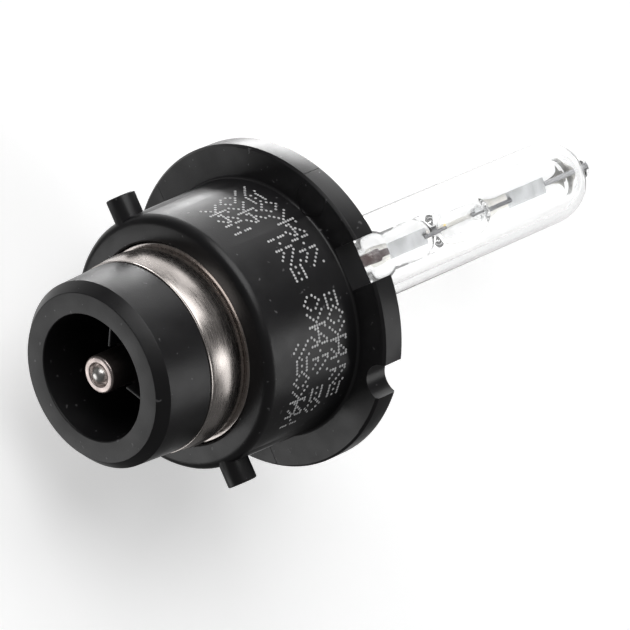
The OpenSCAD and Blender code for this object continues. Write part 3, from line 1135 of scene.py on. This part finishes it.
def makeHolderRing():
    low, high = (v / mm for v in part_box("holder_ring"))
    bandRadius = tubeHigh.y + 0.4
    t = holder["thickness"]
    corners = [(low.x, bandRadius + 0.02, 0.1), (low.x, high.y, 0.1), (low.x + t, high.y, 0.12),
               (low.x + t, bandRadius + 0.02, 0.15)]
    plate = turnedPiece("holderRing", rounded(corners), 128)
    for degrees in holder["tabAngles"]:
        tab = block("tab", ((low.x + high.x + 0.1) / 2, bandRadius + t / 2 + 0.02, 0),
                    (high.x - low.x - 0.1, t, holder["tabWidth"]))
        bevelEdges(tab, lambda a, b: abs(a.y - b.y) > 1e-5 and a.x > (high.x - 1) * mm,
                   holder["tabCorner"], 5)
        dimple = axialRod("dimple", 0, 0.3, 0.5, 0, 0, 24, 0.1)
        dimple.rotation_euler = (0, 0, -math.pi / 2)
        dimple.location = ((high.x - 1.2) * mm, (bandRadius + t + 0.28) * mm, 0)
        settle(dimple)
        cut(tab, dimple)
        cut(plate, turnAbout(tab, degrees), "UNION")
    relief = axialRod("relief", 3, 6, 1.6, 0, -cap["wireOffset"], 40)
    cut(plate, relief)
    placed(smooth(plate, 35), ["holder_ring"], holderSteel)


makeClampBand()
makeHolderRing()
print("lamp holder made")


# ---- return circuit ----

wire = {
    "radius": 0.35,
    "bendRadius": 1.5,
    "crossing": 49.0,
    "sleeveBore": 0.46,
    "weldRadius": 0.4,
    "strapThickness": 0.3,
}


def makeCeramicSleeve():
    low, high = (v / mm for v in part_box("ceramic_sleeve"))
    outer = high.y
    corners = [(low.x, wire["sleeveBore"], 0.05), (low.x, outer, 0.2), (high.x, outer, 0.35),
               (high.x, wire["sleeveBore"], 0.2)]
    body = turnedPiece("ceramicSleeve", rounded(corners), 64)
    body.location = (0, 0, -cap["wireOffset"] * mm)
    settle(body)
    placed(smooth(body, 35), ["ceramic_sleeve"], whiteCeramic)


def makeReturnWire():
    low, high = (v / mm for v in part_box("return_wire"))
    r = wire["radius"]
    bend = wire["bendRadius"]
    start = Vector((low.x, 0, -cap["wireOffset"])) * mm
    deselectAll()
    bpy.ops.mesh.primitive_circle_add(vertices=24, radius=r * mm, fill_type="NGON", location=start,
                                      rotation=(0, math.pi / 2, 0))
    piece = bpy.context.object
    piece.name = "returnWire"
    openAll(piece, "FACE")
    run = (wire["crossing"] - bend - low.x) * mm
    for k in range(12):
        bpy.ops.mesh.extrude_region_move(TRANSFORM_OT_translate={"value": (run / 12, 0, 0)})
    pivot = ((wire["crossing"] - bend) * mm, 0, (bend - cap["wireOffset"]) * mm)
    bpy.ops.mesh.spin(steps=14, angle=math.radians(-90), center=pivot, axis=(0, 1, 0))
    rise = (high.z - (bend - cap["wireOffset"])) * mm
    for k in range(4):
        bpy.ops.mesh.extrude_region_move(TRANSFORM_OT_translate={"value": (0, 0, rise / 4)})
    closeEdit()
    tidyMesh(piece)
    settle(piece)
    placed(smooth(piece, 40), ["return_wire"], nickelWire)


def makeTipWeld():
    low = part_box("tip_weld")[0] / mm
    bpy.ops.mesh.primitive_uv_sphere_add(segments=32, ring_count=20, radius=wire["weldRadius"] * mm,
                                         location=(wire["crossing"] * mm, 0, -0.5 * mm))
    bead = settle(bpy.context.object)
    bead.name = "tipWeld"
    openAll(bead)
    bpy.ops.mesh.bisect(plane_co=(0, 0, low.z * mm), plane_no=(0, 0, -1), clear_outer=True, use_fill=True)
    closeEdit()
    core = axialRod("core", 48, 50, 0.3, 0, 0, 32)
    cut(bead, core)
    placed(smooth(bead, 50), ["tip_weld"], weldMetal)


def makeReturnStrap():
    low, high = (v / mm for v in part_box("return_strap"))
    t = wire["strapThickness"]
    strap = block("returnStrap", ((low.x + high.x) / 2, 0, low.z + t / 2), (high.x - low.x, 2 * high.y, t))
    openAll(strap, "FACE")
    bpy.ops.mesh.bisect(plane_co=((high.x - t) * mm, 0, 0), plane_no=(1, 0, 0))
    closeEdit()
    selectFaces(strap, lambda c, n: n.z > 0.9 and c.x > (high.x - t) * mm)
    openEditKeeping(strap, "FACE")
    bpy.ops.mesh.extrude_region_move(TRANSFORM_OT_translate={"value": (0, 0, (high.z - low.z - t) * mm)})
    closeEdit()
    soft = strap.modifiers.new("soft", "BEVEL")
    soft.width = 0.06 * mm
    soft.segments = 2
    applyAll(strap)
    placed(smooth(strap, 40), ["return_strap"], nickelWire)


makeCeramicSleeve()
makeReturnWire()
makeTipWeld()
makeReturnStrap()
print("return circuit made")
